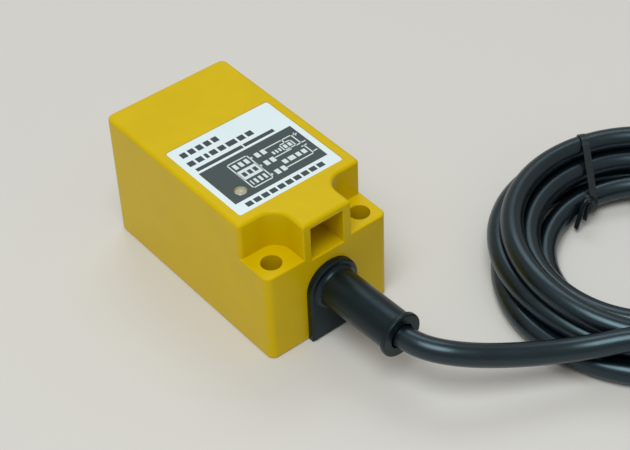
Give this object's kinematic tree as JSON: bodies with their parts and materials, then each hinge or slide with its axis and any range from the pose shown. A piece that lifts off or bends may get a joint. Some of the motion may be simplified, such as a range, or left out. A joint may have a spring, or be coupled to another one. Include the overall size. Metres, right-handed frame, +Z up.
{
  "type": "inductive proximity sensor",
  "caption": "Rectangular block proximity sensor with two mounting ears, a printed label, an indicator window and a moulded cable outlet with a coiled three-core cable.",
  "frame": {"origin": "bottom centre of the block housing, on the plane of its mounting face", "axes": "+Y from the cable end towards the sensing face, +Z up out of the label face, +X across the block"},
  "size_m": [0.1439, 0.1242, 0.0304],
  "materials": {
    "housing_plastic": "moulded ABS, low gloss",
    "label_print": "printed polyester film",
    "lens_clear": "clear moulded plastic",
    "led_epoxy": "tinted epoxy",
    "tinned_metal": "tinned copper",
    "ferrite": "sintered, matt",
    "bobbin_nylon": "moulded nylon",
    "copper_wire": "enamelled copper",
    "board_laminate": "glass epoxy with solder mask",
    "package_black": "moulded epoxy",
    "diode_glass": "glass bead",
    "chip_ceramic": "sintered ceramic",
    "capacitor_sleeve": "shrink sleeve",
    "resin": "cast epoxy",
    "rubber_black": "moulded rubber",
    "cable_sheath": "soft PVC, semi gloss",
    "clamp_nylon": "moulded nylon",
    "wire_brown": "PVC insulation",
    "wire_black": "PVC insulation",
    "wire_blue": "PVC insulation",
    "tie_plastic": "plastic-coated wire"
  },
  "bodies": {
    "root": {"housing": "housing_plastic", "base_cover": "housing_plastic", "label_plate": "label_print", "indicator_lens": "lens_clear", "indicator_led": "led_epoxy", "led_legs": "tinned_metal", "potting_resin": "resin", "ferrite_core": "ferrite", "coil_bobbin": "bobbin_nylon", "coil_winding": "copper_wire", "coil_leads": "copper_wire", "circuit_board": "board_laminate", "detector_ic": "package_black", "detector_ic_leads": "tinned_metal", "output_transistor": "package_black", "transistor_legs": "tinned_metal", "protection_diodes": "diode_glass", "diode_leads": "tinned_metal", "chip_resistors": "package_black", "chip_capacitors": "chip_ceramic", "filter_capacitor": "capacitor_sleeve", "cable_grommet": "rubber_black", "cable_entry": "cable_sheath", "cable_clamp": "clamp_nylon", "inner_wire_brown": "wire_brown", "inner_wire_black": "wire_black", "inner_wire_blue": "wire_blue", "cable_lead": "cable_sheath", "cable_coil": "cable_sheath", "coil_tie": "tie_plastic", "end_core_brown": "wire_brown", "end_core_black": "wire_black", "end_core_blue": "wire_blue", "end_core_tips": "tinned_metal"}
  },
  "joints": []
}
